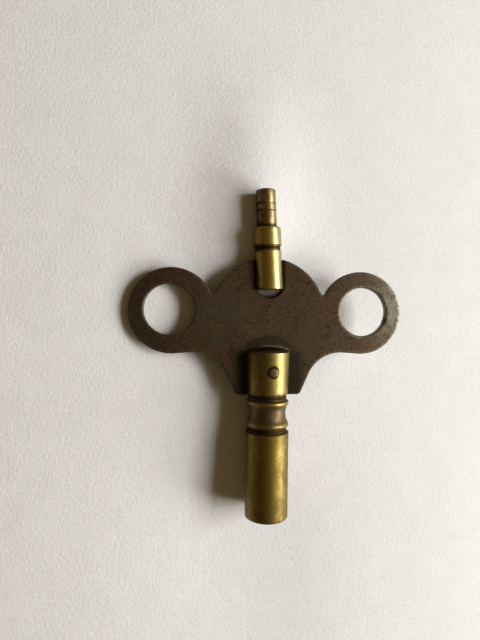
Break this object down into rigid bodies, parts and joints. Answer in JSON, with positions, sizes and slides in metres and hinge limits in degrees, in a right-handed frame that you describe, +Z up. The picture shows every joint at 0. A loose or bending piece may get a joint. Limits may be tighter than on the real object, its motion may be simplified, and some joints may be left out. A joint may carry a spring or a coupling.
{
  "type": "clock winding key",
  "caption": "Double-ended clock winding key: flat steel wing plate with finger rings, a large pinned winding barrel and a small regulator barrel, each with a square socket.",
  "frame": {"origin": "middle of the underside of the key's box, on the table the key lies on", "axes": "+Y along the key's axis towards the small regulator end, +X towards the right wing, +Z up off the table; the key lies rolled onto its winding barrel and left wing"},
  "size_m": [0.0502, 0.0598, 0.0082],
  "materials": {
    "wing_plate": "dark oxidised satin steel, worn bright at the edges",
    "winding_barrel": "aged yellow brass, satin, with dark tarnish in the grooves",
    "barrel_pin": "tarnished brass rivet with a domed head",
    "regulator_barrel": "aged yellow brass, smooth satin",
    "regulator_tip": "dark coppery bronze with lengthways streaks"
  },
  "bodies": {
    "root": {"wing_plate": "wing_plate", "winding_barrel": "winding_barrel", "barrel_pin": "barrel_pin", "regulator_barrel": "regulator_barrel", "regulator_tip": "regulator_tip"}
  },
  "joints": []
}
